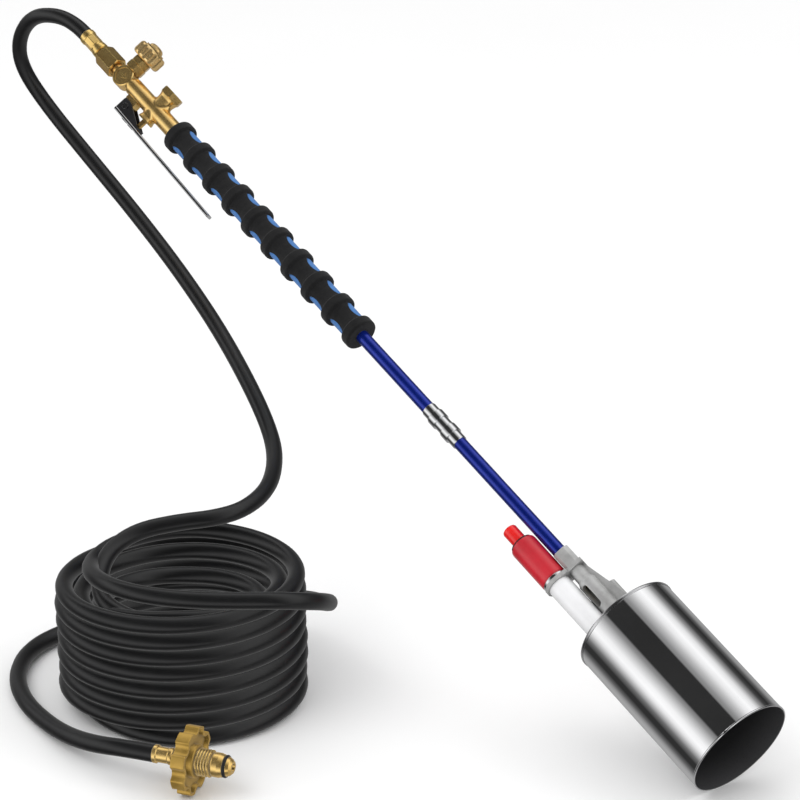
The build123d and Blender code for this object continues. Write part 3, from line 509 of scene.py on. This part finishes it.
def add_finishes():
    """A finish for every CAD node."""
    brass = (1.0, 0.70, 0.27)
    tarnish = (0.88, 0.56, 0.19)
    dress(metal("ferrule_brass", (1.0, 0.72, 0.27), (0.86, 0.57, 0.17), (0.12, 0.22), LANCE, body=0.90),
          "hose_ferrule")
    dress(metal("connector_brass", (1.0, 0.70, 0.26), (0.86, 0.56, 0.18), (0.14, 0.24), WHEEL_AXIS,
                marks=0.2, body=0.85), "connector_ferrule", "connector_nipple", "connector_nut")
    dress(metal("turned_brass", brass, tarnish, (0.12, 0.22), LANCE, marks=0.2, edge_highlight=0.9, body=0.92),
          "hose_barb", "inlet_nut", "gas_jet", "flame_tube")
    dress(metal("valve_brass", brass, tarnish, (0.16, 0.26), LANCE, pitted=0.06, edge_highlight=0.9, body=0.91),
          "needle_valve_body", "trigger_valve_body")
    dress(metal("fitting_brass", brass, tarnish, (0.13, 0.23), KNOB, marks=0.2, edge_highlight=0.9, body=0.92),
          "bonnet_nut", "gland_nut", "valve_end_plug", "valve_push_rod", "valve_poppet")
    dress(metal("knob_brass", (1.0, 0.72, 0.33), (0.90, 0.59, 0.24), (0.18, 0.28), KNOB, marks=0.25, edge_highlight=0.9,
                body=0.86), "flow_knob", "knob_cap")
    dress(metal("handwheel_gold", (0.70, 0.45, 0.11), (0.52, 0.32, 0.065), (0.34, 0.48), WHEEL_AXIS,
                marks=0.05, pitted=0.2, edge_highlight=0.6, round_off=0.0008, body=0.75), "connector_handwheel")
    steel = metal("turned_steel", (0.62, 0.62, 0.63), (0.44, 0.44, 0.45), (0.24, 0.36), KNOB)
    dress(steel, "needle_stem", "igniter_hammer", "spark_electrode", "poppet_spring", "hammer_spring",
          "button_spring", "bell_screws")
    dress(metal("pin_steel", (0.52, 0.52, 0.53), (0.30, 0.30, 0.31), (0.12, 0.22), ACROSS), "lever_pin",
          "yoke_rivets")
    dress(metal("lead_copper", (0.72, 0.36, 0.22), (0.42, 0.20, 0.12), (0.30, 0.45), LANCE), "ignition_lead")
    dress(chrome("lever_chrome", 0.86, 0.08, KNOB), "squeeze_lever")
    dress(chrome("coupling_chrome", 0.84, 0.06, LANCE, 0.06), "tube_coupling")
    dress(chrome("clamp_chrome", 0.84, 0.10, LANCE, 0.06), "igniter_clamp_ring")
    dress(metal("pan_steel", (0.70, 0.70, 0.71), (0.52, 0.52, 0.53), (0.12, 0.22), LANCE), "bell_back_plate",
          "flame_holder")
    # the yoke's grey edge flecks stand for rubbed paint and painted edge highlights
    dress(coated("yoke_black", (0.016, 0.016, 0.018), (0.009, 0.009, 0.010), 0.34, 0.3, 0.2, 0.08,
                 (0.20, 0.20, 0.20)), "lever_yoke")
    dress(foam("foam_black", (0.0105, 0.0105, 0.0110), (0.0060, 0.0060, 0.0065), 1500.0, 0.35), "foam_grip")
    dress(foam("foam_blue", (0.060, 0.195, 0.480), (0.045, 0.150, 0.400), 2200.0, 0.12, 0.85, 0.25),
          "grip_core")
    dress(tube_enamel(), "rear_tube", "front_tube")
    dress(coated("button_red", (0.80, 0.010, 0.008), (0.62, 0.006, 0.006), 0.20, 0.6, 0.06, 0.04),
          "igniter_button")
    dress(coated("sleeve_red", (0.56, 0.012, 0.026), (0.44, 0.008, 0.018), 0.32, 0.4, 0.12, 0.06,
                 (0.30, 0.06, 0.05)), "igniter_sleeve")
    dress(coated("trim_black", (0.012, 0.012, 0.013), (0.008, 0.008, 0.009), 0.45, 0.0, 0.2, 0.10),
          "igniter_seal_ring", "stem_packing", "poppet_seal", "rod_seal", "connector_o_ring")
    dress(coated("barrel_white", (0.84, 0.84, 0.85), (0.77, 0.77, 0.785), 0.22, 0.6, 0.06, 0.03),
          "igniter_barrel", "hammer_guide", "piezo_crystal", "electrode_insulator")
    dress(cast_metal(), "head_casting")
    dress(bell_metal(), "burner_bell")


add_finishes()

# ---------------------------------------------------------------- hose
HOSE_R = 7.25 * MM
# stations, in millimetres, of the first two and last two points, in the ferrules' mouths
LEAD_STATIONS = (-68.4, -87.4)
TAIL_STATIONS = (-57.0, -31.5)
# the hanging run and the loose turn with the floor run, in millimetres
LEAD_ROUTE = (
    (-331, -4, 138), (-365, -10, 131), (-390, -11, 105), (-397, -6, 74), (-385, 14, 33),
    (-331, 29, -14), (-250, 26, -50), (-161, 13, -81), (-73, -5, -112), (20, -37, -136), (73, -57, -156),
    (108, -80, -165), (139, -112, -170), (154, -148, -173), (151, -177, -174), (134, -204, -176),
    (117, -236, -181), (118, -266, -191), (138, -289, -203),
)
TAIL_ROUTE = (
    (113, -278, -197), (138, -298, -193), (172, -307, -188), (206, -305, -184), (236, -290, -183),
    (262, -266, -183), (283, -241, -183), (298, -222, -183), (304, -200, -188), (299, -178, -197),
    (271, -147, -218), (228, -121, -242), (181, -105, -260), (132, -114, -276), (90, -143, -290),
    (58, -181, -298), (39, -222, -300), (34, -264, -300), (46, -305, -300), (80, -339, -300),
    (123, -358, -300), (166, -365, -299), (207, -369, -294), (243, -367, -287),
)
# the wound part: its middle, the way its long side points, what its short radius lacks, and degrees a point
COIL_CENTRE = Vector((186.0, -239.0, 0.0))
COIL_TURN = math.radians(50.55)
COIL_OVAL = 8.5
COIL_STEP = 22.5
# a quadratic spline runs inside its control points by this share of the radius
COIL_CUT = 0.981
# uneven winding: height and turns of two slow waves of the radius, in millimetres
COIL_SLACK = ((0.5, 0.37, 0.0), (0.4, 0.83, 1.0))
# angle, long radius and height above the floor where the winding changes:
# top ring, then the inner layer down, then the outer layer up
COIL_KEYS = (
    (180, 68.5, 102.7), (225, 67, 97), (270, 66, 92), (360, 66, 87), (450, 66, 84), (540, 66.5, 88),
    (630, 76, 104), (720, 83, 103), (3097, 83, 7.4), (3150, 97.5, 7.4), (5670, 97.5, 108.75),
    (5760, 96.5, 112.5), (5850, 92, 116), (5895, 86.5, 113.5),
)


def coil_route():
    """Control points of the wound hose, in millimetres."""
    points = []
    angle = COIL_KEYS[0][0] + COIL_STEP
    for (a0, r0, z0), (a1, r1, z1) in zip(COIL_KEYS, COIL_KEYS[1:]):
        while angle <= a1:
            part = (angle - a0) / (a1 - a0)
            long_r = (r0 + (r1 - r0) * part) / COIL_CUT
            turn = math.radians(angle)
            slack = sum(size * math.sin(turn * rate + shift) for size, rate, shift in COIL_SLACK)
            x = (long_r + slack) * math.cos(turn)
            y = (long_r - COIL_OVAL + slack) * math.sin(turn)
            spot = Matrix.Rotation(COIL_TURN, 3, "Z") @ Vector((x, y, 0))
            height = FLOOR_Z + z0 + (z1 - z0) * part
            points.append(COIL_CENTRE + spot + Vector((0, 0, height)))
            angle += COIL_STEP
    return points


def nurbs_line(name, points, radius, material):
    """Round cord along one smooth spline with the points as its control points."""
    curve = bpy.data.curves.new(name, "CURVE")
    curve.dimensions = "3D"
    spline = curve.splines.new("NURBS")
    spline.points.add(len(points) - 1)
    for knot, point in zip(spline.points, points):
        knot.co = (*point, 1.0)
    spline.order_u = 3
    spline.use_endpoint_u = True
    spline.resolution_u = 6
    curve.bevel_depth = radius
    curve.bevel_resolution = 6
    curve.use_fill_caps = True
    curve.materials.append(material)
    line = bpy.data.objects.new(name, curve)
    bpy.context.scene.collection.objects.link(line)
    return line


def rubber_material():
    """Black gas hose: slow tone drift, fine grain and settled dust."""
    material, tree, shader = new_material("hose_rubber", Specular_IOR_Level=0.5)
    spot = place(tree)
    tone = noise(tree, spot, 25.0, 5.0)
    grain = noise(tree, spot, RUBBER_GRAIN_SCALE, 3.0)
    dust = noise(tree, spot, 240.0, 6.0, 0.7)
    colour = ramp(tree, tone, ((0.3, (0.0045, 0.0045, 0.0050)), (0.7, (0.0080, 0.0080, 0.0085))))
    colour = blend_colours(tree, ramp(tree, dust, ((0.62, 0.0), (0.8, 0.25))), colour, (0.03, 0.03, 0.03))
    put(tree, shader, Base_Color=colour, Roughness=ramp(tree, dust, ((0.2, 0.30), (0.8, 0.40))),
        Normal=bump(tree, grain, 0.10, RUBBER_GRAIN_DEPTH))
    return material


def add_hose():
    """One hose from the torch's ferrule through the coil to the connector."""
    start = [torch_point(station) for station in LEAD_STATIONS]
    lead = [Vector(point) * MM for point in LEAD_ROUTE]
    coil = [point * MM for point in coil_route()]
    tail = [Vector(point) * MM for point in TAIL_ROUTE]
    end = [connector_point(station) for station in TAIL_STATIONS]
    hose = nurbs_line("hose", start + lead + coil + tail + end, HOSE_R, rubber_material())
    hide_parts("hose_lead", "hose_coil", "hose_tail")
    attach(hose, "lance")
    on_it = [nodes[name] for name in ("connector_ferrule", "connector_nipple", "connector_o_ring",
                                      "connector_nut", "connector_handwheel")]
    for piece in (hose, *on_it):
        piece.visible_glossy = False


add_hose()

# ---------------------------------------------------------------- springs
# node, the body its moving end follows, then its still and its moving end as (station, height),
# in millimetres
SPRINGS = (
    ("button_spring", "button", (661.7, 0.0), (646.8, 0.0)),
    ("hammer_spring", "hammer", (640.3, 0.0), (653.7, 0.0)),
    ("poppet_spring", "plunger", (52.8, 12.5), (52.8, 4.3)),
)


def add_springs():
    """Copies of the springs' meshes with their placement baked in, shown in place of the CAD springs."""
    for name, body, still, moving in SPRINGS:
        coil = bpy.data.objects.new(name + "_coil", nodes[name].data.copy())
        coil.data.materials.clear()
        coil.data.materials.append(nodes[name].material_slots[0].material)
        bpy.context.scene.collection.objects.link(coil)
        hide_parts(name)
        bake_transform(coil)


add_springs()
